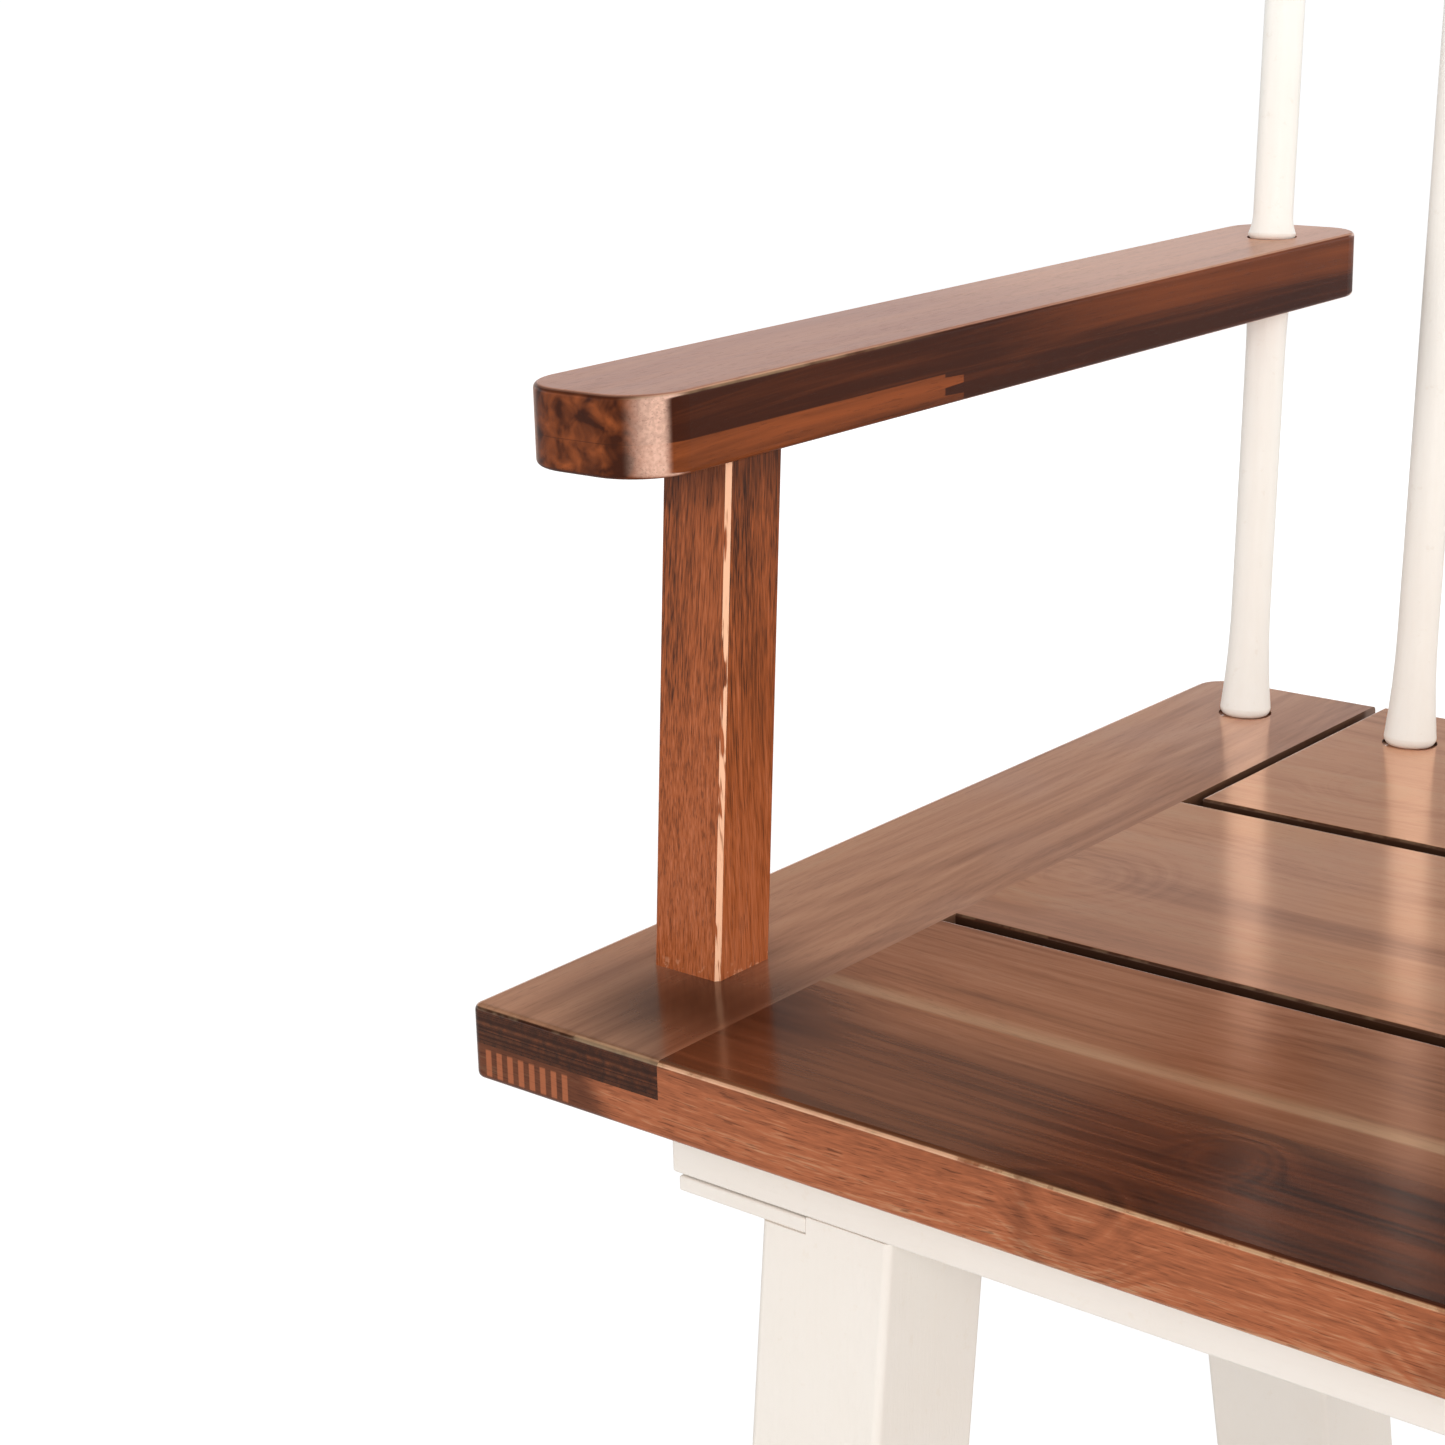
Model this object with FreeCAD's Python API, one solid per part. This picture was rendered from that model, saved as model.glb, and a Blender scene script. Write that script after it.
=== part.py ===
import FreeCAD, Part
import math
import os
from collections import namedtuple

# Slatted armchair with a spindle back, in millimetres.
# X runs across the chair (0 on its middle plane, left is -X seen from the front), Y from front
# to back (0 at the seat's front edge while it is built) and Z up from the floor.

# ------------------------------------------------------------------ driving sizes
# Seat boards
seat_width = 590.0
seat_depth = 450.0
seat_height = 455.0            # top of the seat above the floor
board_thickness = 25.0
side_board_width = 77.0
slot_width = 7.0               # open slots between the cross boards
side_gap = 4.0                 # open gap at each end of the rear board
front_corner_radius = 3.5      # seat corners, seen from above
rear_corner_radius = 12.0
board_edge_radius = 2.2        # eased outer edges
slot_edge_radius = 1.2         # eased edges along the slots
tongue_length = 18.0           # middle board into the side boards
tongue_thickness = 9.0
tongue_shoulder = 18.0         # set in from each edge of the middle board

# Rails under the seat
rail_thickness = 22.0
front_rail_setback = 20.0      # behind the seat's front edge
front_rail_depth = 62.0
front_rail_inset = 64.0        # its ends from the seat's sides
middle_rail_lap = 53.0         # under the middle board, from its back edge
middle_rail_depth = 80.0
back_rail_setback = 12.0       # in front of the seat's back edge
back_rail_depth = 60.0
hidden_rail_inset = 20.0       # ends of the middle and back rails from the seat's sides
rail_edge_radius = 1.0

# Bearer plates let into the leg tops
bearer_width = 49.5
bearer_thickness = 5.0
bearer_gap = 0.6               # shadow gap under the rails
bearer_inset = 66.5            # outer edge from the seat's sides
bearer_edge_radius = 0.8

# Legs
front_leg_width = 47.5
rear_leg_width = 51.0
leg_depth = 52.0
front_leg_inset = 99.5         # outer face at the top, from the seat's sides
rear_leg_inset = 100.5
front_leg_front = 20.0         # front face at the top, from the seat's front edge
rear_leg_setback = 5.0         # front face at the top, behind the middle rail's front
leg_splay = 2.4                # degrees, outwards
front_leg_rake = 3.5           # degrees, forwards
rear_leg_rake = 15.0           # degrees, backwards
leg_edge_radius = 2.4

# Stretchers
stretcher_height = 115.0       # centre line above the floor
stretcher_thickness = 20.0
stretcher_depth = 38.0
stretcher_edge_radius = 4.0
stretcher_tenon_thickness = 10.0
stretcher_tenon_depth = 26.0
stretcher_tenon_length = 20.0  # into a leg
cross_tenon_length = 12.0      # into a side stretcher

# Floor glides
glide_diameter = 22.0
glide_thickness = 3.0
glide_edge_radius = 1.0
glide_nail_diameter = 3.0
glide_nail_length = 14.0

# Arms and their posts
arm_width = 55.5               # inwards from the seat's side
arm_thickness = 25.2
arm_clearance = 165.3          # underside above the seat
arm_front = 29.0               # from the seat's front edge
arm_overhang = 21.5            # behind the seat's back edge
arm_front_radius = 20.0        # corners, seen from above
arm_rear_radius = 18.0
arm_edge_radius = 1.8
post_width = 26.5
post_depth = 25.8
post_inset = 38.6              # middle of the posts from the seat's sides
post_front = 58.5              # front face at the seat, from the seat's front edge
post_lean = 4.3                # degrees, backwards
post_edge_radius = 1.0
post_chamfer = 1.4             # planed edge at the front, towards the sitter
post_tenon_size = 14.0
post_tenon_length = 9.0

# Spindles
spindle_count = 8
spindle_inset = 38.4           # outermost spindles from the seat's sides
spindle_setback = 38.7         # from the seat's back edge
spindle_rake = 6.4             # degrees, backwards
spindle_fan = 1.72             # degrees, outward lean of the outermost spindles
spindle_diameter = 15.6
spindle_tenon_diameter = 12.0
socket_depth = 1.2             # recess that the shoulder sits in

# Spindle ends: at the seat and the crest, and at an arm's top and underside
seat_end_diameter = 20.2
seat_end_flare = 45.0          # from the shoulder to the plain shank
seat_end_rounding = 3.8
seat_end_tenon = 14.0
arm_top_end_diameter = 18.6
arm_top_end_flare = 10.0
arm_top_end_rounding = 2.6
arm_top_end_tenon = 10.0
arm_underside_end_diameter = 16.8
arm_underside_end_flare = 20.0
arm_underside_end_rounding = 1.2
arm_underside_end_tenon = 7.0

# Crest rail
crest_clearance = 388.0        # underside above the seat
crest_height = 78.0
crest_thickness = 24.0
crest_crown = 10.0             # rise of the top edge at the middle
crest_corner_radius = 14.0
crest_edge_radius = 2.5

# Fits and fasteners
glue_fit = 0.1                 # on each side of a tenon
socket_fit = 0.5               # around a spindle's shoulder
notch_fit = 0.2                # beside a bearer plate
screw_fit = 0.05
screw_head_diameter = 8.5
screw_shank_diameter = 4.5
seat_screw_length = 36.0
bearer_screw_length = 20.0
leg_bolt_head_diameter = 12.0
leg_bolt_diameter = 7.0
leg_bolt_length = 70.0
leg_bolt_spacing = 25.0
post_screw_length = 60.0

# ------------------------------------------------------------------ derived sizes
V = FreeCAD.Vector
half_width = seat_width / 2
seat_top = seat_height
seat_bottom = seat_top - board_thickness
lap_plane = seat_top - board_thickness / 2
rail_bottom = seat_bottom - rail_thickness
side_board_inner = half_width - side_board_width
cross_board_width = (seat_depth - 2 * slot_width) / 3
middle_board_front = cross_board_width + slot_width
middle_board_rear = middle_board_front + cross_board_width
rear_board_front = middle_board_rear + slot_width
front_rail_back = front_rail_setback + front_rail_depth
middle_rail_front = middle_board_rear - middle_rail_lap
middle_rail_back = middle_rail_front + middle_rail_depth
back_rail_back = seat_depth - back_rail_setback
back_rail_front = back_rail_back - back_rail_depth
bearer_outer = half_width - bearer_inset
bearer_inner = bearer_outer - bearer_width
rear_leg_front = middle_rail_front + rear_leg_setback
foot_height = glide_thickness
arm_bottom = seat_top + arm_clearance
arm_top = arm_bottom + arm_thickness
post_middle = half_width - post_inset
outer_spindle = half_width - spindle_inset
spindle_row = seat_depth - spindle_setback
spindle_pitch = 2 * outer_spindle / (spindle_count - 1)
crest_bottom = seat_top + crest_clearance
overshoot = 10.0               # how far a cutting shape runs past the surface that it opens
close = 1e-4                   # places nearer than this are the same

End = namedtuple("End", "diameter flare rounding tenon")
seat_end = End(seat_end_diameter, seat_end_flare, seat_end_rounding, seat_end_tenon)
arm_top_end = End(arm_top_end_diameter, arm_top_end_flare, arm_top_end_rounding, arm_top_end_tenon)
arm_underside_end = End(arm_underside_end_diameter, arm_underside_end_flare,
                        arm_underside_end_rounding, arm_underside_end_tenon)

# A left leg: its width, its outer and front faces at the top, and its rake to the back
Leg = namedtuple("Leg", "width outer front rake")
front_leg_plan = Leg(front_leg_width, half_width - front_leg_inset, front_leg_front, -front_leg_rake)
rear_leg_plan = Leg(rear_leg_width, half_width - rear_leg_inset, rear_leg_front, rear_leg_rake)
leg_plans = (front_leg_plan, rear_leg_plan)


def slope(degrees):
    return math.tan(math.radians(degrees))


# ------------------------------------------------------------------ shared shapes
def block(x0, x1, y0, y1, z0, z1):
    return Part.makeBox(x1 - x0, y1 - y0, z1 - z0, V(x0, y0, z0))


def mirrored(shape):
    return shape.mirror(V(0, 0, 0), V(1, 0, 0))


def edges_along(shape, direction):
    """Straight edges of a shape that run along a direction."""
    found = []
    for edge in shape.Edges:
        span = edge.Vertexes[-1].Point - edge.Vertexes[0].Point
        straight = span.Length > close and edge.Length - span.Length < close
        if straight and span.cross(direction).Length < close * span.Length:
            found.append(edge)
    return found


def edges_at_height(shape, z):
    """Edges that lie flat at one height."""
    return [edge for edge in shape.Edges
            if abs(edge.BoundBox.ZMin - z) < close and abs(edge.BoundBox.ZMax - z) < close]


def slab(x0, x1, y0, y1, z0, z1, front_radius, rear_radius, edge_radius, ease_top=True):
    """Flat board with rounded corners in plan and eased edges."""
    board = block(x0, x1, y0, y1, z0, z1)
    for y, radius in ((y0, front_radius), (y1, rear_radius)):
        corners = [edge for edge in edges_along(board, V(0, 0, 1))
                   if abs(edge.CenterOfMass.y - y) < close]
        board = board.makeFillet(radius, corners)
    outline = edges_at_height(board, z0)
    if ease_top:
        outline += edges_at_height(board, z1)
    return board.makeFillet(edge_radius, outline)


def rounded_rectangle(x0, x1, y0, y1, z, radius):
    """Closed wire of four sides and four quarter rounds at one height."""
    corners = [(x1 - radius, y1 - radius, 0), (x0 + radius, y1 - radius, 90),
               (x0 + radius, y0 + radius, 180), (x1 - radius, y0 + radius, 270)]
    arcs = []
    for x, y, start in corners:
        circle = Part.Circle(V(x, y, z), V(0, 0, 1), radius)
        arcs.append(Part.Arc(circle, math.radians(start), math.radians(start + 90)).toShape())
    edges = []
    for here, following in zip(arcs, arcs[1:] + arcs[:1]):
        edges.append(here)
        edges.append(Part.makeLine(here.valueAt(here.LastParameter),
                                   following.valueAt(following.FirstParameter)))
    return Part.Wire(edges)


def turned(profile):
    """Solid of revolution about Z from (radius, height) points."""
    outline = Part.makePolygon([V(r, 0, z) for r, z in profile + profile[:1]])
    return Part.Face(outline).revolve(V(0, 0, 0), V(0, 0, 1), 360)


def screw(head_diameter, shank_diameter, length, grow=0.0):
    """Countersunk screw that points up, with the flat of its head at z = 0."""
    head, shank = head_diameter / 2 + grow, shank_diameter / 2 + grow
    cone = head - shank
    return turned([(0, 0), (head, 0), (shank, cone), (shank, length + grow), (0, length + grow)])


def screw_set(points, head_diameter, shank_diameter, length, downwards=False):
    """Screws and the holes for them at a list of head positions."""
    screws, holes = [], []
    for point in points:
        for grow, kept in ((0.0, screws), (screw_fit, holes)):
            body = screw(head_diameter, shank_diameter, length, grow)
            if downwards:
                body.rotate(V(0, 0, 0), V(1, 0, 0), 180)
            body.translate(point)
            kept.append(body)
    return screws, holes


# ------------------------------------------------------------------ spindles and their sockets
def spindle_x(index):
    return -outer_spindle + index * spindle_pitch


def spindle_point(index, z):
    """Point of a spindle's centre line at one height."""
    lean = -spindle_fan * (1 - 2 * index / (spindle_count - 1))
    rise = z - seat_top
    return V(spindle_x(index) + rise * slope(lean), spindle_row + rise * slope(spindle_rake), z)


def spindle_direction(index):
    return (spindle_point(index, seat_top + 1) - spindle_point(index, seat_top)).normalize()


def along_spindle(shape, index, z, upside_down=False):
    """Stand a shape made along +Z on a spindle's centre line, with its origin at one height."""
    direction = spindle_direction(index)
    if upside_down:
        direction = -direction
    shape.Placement = FreeCAD.Placement(spindle_point(index, z), FreeCAD.Rotation(V(0, 0, 1), direction))
    return shape


def end_outline(end, shoulder, inwards):
    """Half outline of one end, from its shoulder to the plain shank: a quarter round up to the
    full size, then a flare that runs out along the shank. inwards is 1 or -1."""
    wide, thin = end.diameter / 2, spindle_diameter / 2
    corner = V(wide, 0, shoulder + inwards * end.rounding)
    flat = V(wide - end.rounding, 0, shoulder)
    bulge = V(flat.x, 0, corner.z) + V(1, 0, -inwards) * end.rounding * math.sqrt(0.5)
    shank = V(thin, 0, shoulder + inwards * end.flare)
    run = abs(shank.z - corner.z)
    flare_radius = (run ** 2 + (wide - thin) ** 2) / (2 * (wide - thin))
    half_angle = math.asin(run / flare_radius) / 2
    waist = shank + V(flare_radius * (1 - math.cos(half_angle)), 0,
                      -inwards * flare_radius * math.sin(half_angle))
    return flat, shank, [Part.Arc(flat, bulge, corner).toShape(), Part.Arc(corner, waist, shank).toShape()]


def spindle_body(length, lower_end, upper_end):
    """Turned spindle with flared ends, its lower shoulder at z = 0."""
    tenon = spindle_tenon_diameter / 2
    lower_flat, lower_shank, lower_arcs = end_outline(lower_end, 0, 1)
    upper_flat, upper_shank, upper_arcs = end_outline(upper_end, length, -1)
    bottom, top = -lower_end.tenon, length + upper_end.tenon
    below = Part.makePolygon([V(0, 0, bottom), V(tenon, 0, bottom), V(tenon, 0, 0), lower_flat])
    above = Part.makePolygon([upper_flat, V(tenon, 0, length), V(tenon, 0, top), V(0, 0, top),
                              V(0, 0, bottom)])
    shank = Part.makeLine(lower_shank, upper_shank)
    outline = Part.Wire(below.Edges + lower_arcs + [shank] + upper_arcs[::-1] + above.Edges)
    return Part.Face(outline).revolve(V(0, 0, 0), V(0, 0, 1), 360)


def spindle_between(index, low, lower_end, high, upper_end):
    """Spindle whose shoulders stand socket_depth inside the faces at two heights."""
    start = spindle_point(index, low) - spindle_direction(index) * socket_depth
    finish = spindle_point(index, high) + spindle_direction(index) * socket_depth
    body = spindle_body((finish - start).Length, lower_end, upper_end)
    return along_spindle(body, index, start.z)


def socket(index, z, end, upside_down=False):
    """Recess and tenon hole bored along a spindle into the face at one height."""
    recess = end.diameter / 2 + socket_fit
    hole = spindle_tenon_diameter / 2 + glue_fit
    bottom = -socket_depth - end.tenon - glue_fit
    bore = turned([(0, bottom), (hole, bottom), (hole, -socket_depth), (recess, -socket_depth),
                   (recess, overshoot), (0, overshoot)])
    return along_spindle(bore, index, z, upside_down)


# ------------------------------------------------------------------ seat
def seat_blank():
    return slab(-half_width, half_width, 0, seat_depth, seat_bottom, seat_top,
                front_corner_radius, rear_corner_radius, board_edge_radius)


def middle_tongue(grow=0.0):
    """Tongue on the left end of the middle board, or the mortise for it."""
    centre = (seat_top + seat_bottom) / 2
    return block(-side_board_inner - tongue_length - grow, -side_board_inner,
                 middle_board_front + tongue_shoulder - grow, middle_board_rear - tongue_shoulder + grow,
                 centre - tongue_thickness / 2 - grow, centre + tongue_thickness / 2 + grow)


def left_side_board(blank):
    """Runs front to back over the front board's tongue, half its thickness deep."""
    outside = -half_width - overshoot
    region = block(outside, -side_board_inner, -overshoot, seat_depth + overshoot, lap_plane, seat_top)
    lower = block(outside, -side_board_inner, cross_board_width, seat_depth + overshoot,
                  seat_bottom, lap_plane)
    board = blank.common(region.fuse(lower)).cut(middle_tongue(glue_fit))
    return board.cut(socket(0, seat_top, seat_end)).cut(left_post_tenon(0, glue_fit))


def ease_slot_edges(board, positions):
    """Round the long top edges that border an open slot."""
    chosen = [edge for edge in edges_along(board, V(1, 0, 0))
              if abs(edge.CenterOfMass.z - seat_top) < close
              and min(abs(edge.CenterOfMass.y - y) for y in positions) < close]
    return board.makeFillet(slot_edge_radius, chosen)


def front_board(blank):
    """Crosses the whole seat in its lower half and stops at the side boards in its upper half."""
    lower = block(-half_width - overshoot, half_width + overshoot, -overshoot, cross_board_width,
                  seat_bottom, lap_plane)
    upper = block(-side_board_inner, side_board_inner, -overshoot, cross_board_width, lap_plane, seat_top)
    return ease_slot_edges(blank.common(lower.fuse(upper)).removeSplitter(), [cross_board_width])


def middle_board():
    board = block(-side_board_inner, side_board_inner, middle_board_front, middle_board_rear,
                  seat_bottom, seat_top)
    board = ease_slot_edges(board, [middle_board_front, middle_board_rear])
    tongue = middle_tongue()
    return board.fuse([tongue, mirrored(tongue)]).removeSplitter()


def rear_board():
    """Stands clear of its neighbours all round and holds the inner spindles."""
    end = side_board_inner - side_gap
    board = slab(-end, end, rear_board_front, seat_depth, seat_bottom, seat_top,
                 slot_edge_radius, slot_edge_radius, slot_edge_radius)
    for index in range(1, spindle_count - 1):
        board = board.cut(socket(index, seat_top, seat_end))
    return board


# ------------------------------------------------------------------ rails and bearers
def rail(inset, front, back):
    end = half_width - inset
    return slab(-end, end, front, back, rail_bottom, seat_bottom,
                rail_edge_radius, rail_edge_radius, rail_edge_radius, ease_top=False)


def left_bearer_plate():
    top = rail_bottom - bearer_gap
    return slab(-bearer_outer, -bearer_inner, front_rail_setback, middle_rail_back,
                top - bearer_thickness, top, bearer_edge_radius, bearer_edge_radius, bearer_edge_radius)


# ------------------------------------------------------------------ legs
def leg_corner(leg, z):
    """Outer front corner of a left leg at one height."""
    drop = rail_bottom - z
    return V(-leg.outer - drop * slope(leg_splay), leg.front + drop * slope(leg.rake), z)


def leg_centre(leg, z):
    return leg_corner(leg, z) + V(leg.width / 2, leg_depth / 2, 0)


def leg_blank(leg):
    """Left leg: splayed and raked, and cut level at both ends."""
    sections = []
    for z in (foot_height, rail_bottom):
        corner = leg_corner(leg, z)
        sections.append(rounded_rectangle(corner.x, corner.x + leg.width, corner.y,
                                          corner.y + leg_depth, z, leg_edge_radius))
    return Part.makeLoft(sections, True, True)


def bearer_notch():
    """Room for the left bearer plate in the outer corner of a leg's top."""
    return block(-bearer_outer - overshoot, -bearer_inner + notch_fit, -overshoot,
                 seat_depth, rail_bottom - bearer_gap - bearer_thickness, rail_bottom + overshoot)


def both_sides(points):
    return points + [V(-point.x, point.y, point.z) for point in points]


def glide_positions():
    return both_sides([leg_centre(leg, foot_height) for leg in leg_plans])


def glide(point, nail_only=False, grow=0.0):
    """Nailed floor glide under a foot, or its nail alone."""
    nail = glide_nail_diameter / 2 + grow
    tip = glide_nail_length + grow
    profile = [(0, 0), (nail, 0), (nail, tip), (0, tip)]
    if not nail_only:
        disc, ease = glide_diameter / 2, glide_edge_radius
        profile = [(0, -glide_thickness), (disc - ease, -glide_thickness),
                   (disc, ease - glide_thickness), (disc, 0), (nail, 0), (nail, tip), (0, tip)]
    body = turned(profile)
    body.translate(point)
    return body


# ------------------------------------------------------------------ stretchers
def bar_along_y(x, y0, y1, thickness, depth, radius):
    """Level bar with rounded long edges at the stretcher height."""
    bar = block(x - thickness / 2, x + thickness / 2, y0, y1,
                stretcher_height - depth / 2, stretcher_height + depth / 2)
    return bar.makeFillet(radius, edges_along(bar, V(0, 1, 0))) if radius else bar


def side_stretcher_ends():
    """Middles of the left legs at the stretcher height."""
    return [leg_centre(leg, stretcher_height) for leg in leg_plans]


def left_side_stretcher(front_leg, rear_leg):
    """Shouldered against both legs, with a tenon into each."""
    front, rear = side_stretcher_ends()
    bar = bar_along_y(cross_middle().x, front.y, rear.y, stretcher_thickness, stretcher_depth,
                      stretcher_edge_radius).cut(front_leg).cut(rear_leg)
    return bar.fuse(side_tenon()).removeSplitter()


def side_tenon(grow=0.0):
    """Core of the left side stretcher, from tenon end to tenon end."""
    front, rear = side_stretcher_ends()
    reach = leg_depth / 2 - stretcher_tenon_length - grow
    return bar_along_y(cross_middle().x, front.y + reach, rear.y - reach,
                       stretcher_tenon_thickness + 2 * grow, stretcher_tenon_depth + 2 * grow, 0)


def cross_middle():
    front, rear = side_stretcher_ends()
    return (front + rear) / 2


def cross_bar(end, thickness, depth):
    """Level bar across the chair, between the side stretchers."""
    y = cross_middle().y
    return block(-end, end, y - thickness / 2, y + thickness / 2,
                 stretcher_height - depth / 2, stretcher_height + depth / 2)


def cross_tenon(grow=0.0):
    end = -cross_middle().x - stretcher_thickness / 2 + cross_tenon_length + grow
    return cross_bar(end, stretcher_tenon_thickness + 2 * grow, stretcher_tenon_depth + 2 * grow)


def cross_stretcher():
    shoulder = -cross_middle().x - stretcher_thickness / 2
    bar = cross_bar(shoulder, stretcher_thickness, stretcher_depth)
    bar = bar.makeFillet(stretcher_edge_radius, edges_along(bar, V(1, 0, 0)))
    return bar.fuse(cross_tenon()).removeSplitter()


# ------------------------------------------------------------------ arms and posts
def post_y(z):
    """Front face of a post at one height."""
    return post_front + (z - seat_top) * slope(post_lean)


def left_post_tenon(end, grow=0.0):
    """Tenon at the seat (end 0) or in the arm (end 1), or the mortise for it."""
    low, high = ((seat_top - post_tenon_length - grow, seat_top),
                 (arm_bottom, arm_bottom + post_tenon_length + grow))[end]
    y = post_y((seat_top, arm_bottom)[end]) + post_depth / 2
    half = post_tenon_size / 2 + grow
    return block(-post_middle - half, -post_middle + half, y - half, y + half, low, high)


def is_at_back_of_post(point):
    return point.y > post_y(point.z) + post_depth / 2


def left_post():
    """Leans back between level shoulders; its front edge towards the sitter is planed off."""
    outlines = []
    for z in (seat_top, arm_bottom):
        x0, x1 = -post_middle - post_width / 2, -post_middle + post_width / 2
        y0, y1 = post_y(z), post_y(z) + post_depth
        outlines.append(Part.makePolygon([V(x0, y0, z), V(x1 - post_chamfer, y0, z),
                                          V(x1, y0 + post_chamfer, z), V(x1, y1, z),
                                          V(x0, y1, z), V(x0, y0, z)]))
    post = Part.makeLoft(outlines, True, True)
    lean = V(0, slope(post_lean), 1).normalize()
    eased = [edge for edge in edges_along(post, lean)
             if edge.CenterOfMass.x < -post_middle or is_at_back_of_post(edge.CenterOfMass)]
    post = post.makeFillet(post_edge_radius, eased)
    return post.fuse([left_post_tenon(0), left_post_tenon(1)]).removeSplitter()


def left_arm():
    """Flat arm over the post and the first spindle, flush with the seat's side."""
    arm = slab(-half_width, arm_width - half_width, arm_front, seat_depth + arm_overhang,
               arm_bottom, arm_top, arm_front_radius, arm_rear_radius, arm_edge_radius)
    arm = arm.cut(socket(0, arm_top, arm_top_end))
    arm = arm.cut(socket(0, arm_bottom, arm_underside_end, upside_down=True))
    return arm.cut(left_post_tenon(1, glue_fit))


# ------------------------------------------------------------------ crest rail
def crest_rail():
    """Straight board with a crowned top edge, leaning back in the plane of the spindles."""
    base = crest_bottom
    corners = [V(-half_width, 0, 0), V(half_width, 0, 0), V(half_width, 0, crest_height),
               V(-half_width, 0, crest_height)]
    crown = Part.Arc(corners[2], V(0, 0, crest_height + crest_crown), corners[3]).toShape()
    outline = Part.Wire([Part.makeLine(corners[0], corners[1]), Part.makeLine(corners[1], corners[2]),
                         crown, Part.makeLine(corners[3], corners[0])])
    board = Part.Face(outline).extrude(V(0, crest_thickness, 0))
    board = board.makeFillet(crest_corner_radius, edges_along(board, V(0, 1, 0)))
    rim = [edge for edge in board.Edges if edge.BoundBox.YLength < close]
    board = board.makeFillet(crest_edge_radius, rim)
    board.translate(V(0, -crest_thickness / 2, 0))
    board.rotate(V(0, 0, 0), V(1, 0, 0), -spindle_rake)
    middle = spindle_point(0, base)
    board.translate(V(0, middle.y, base))
    for index in range(spindle_count):
        board = board.cut(socket(index, base, seat_end, upside_down=True))
    return board


# ------------------------------------------------------------------ fasteners
def seat_screw_points(y, places):
    return [V(side * x, y, rail_bottom) for x in places for side in (-1, 1)]


def leg_bolt_points(leg):
    """Two bolts in a row down through a rail into the land beside the bearer's notch."""
    x = (-bearer_inner - leg.outer + leg.width) / 2
    middle = leg.front + leg_depth / 2
    return [V(x, middle + side * leg_bolt_spacing / 2, seat_bottom) for side in (-1, 1)]


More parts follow.
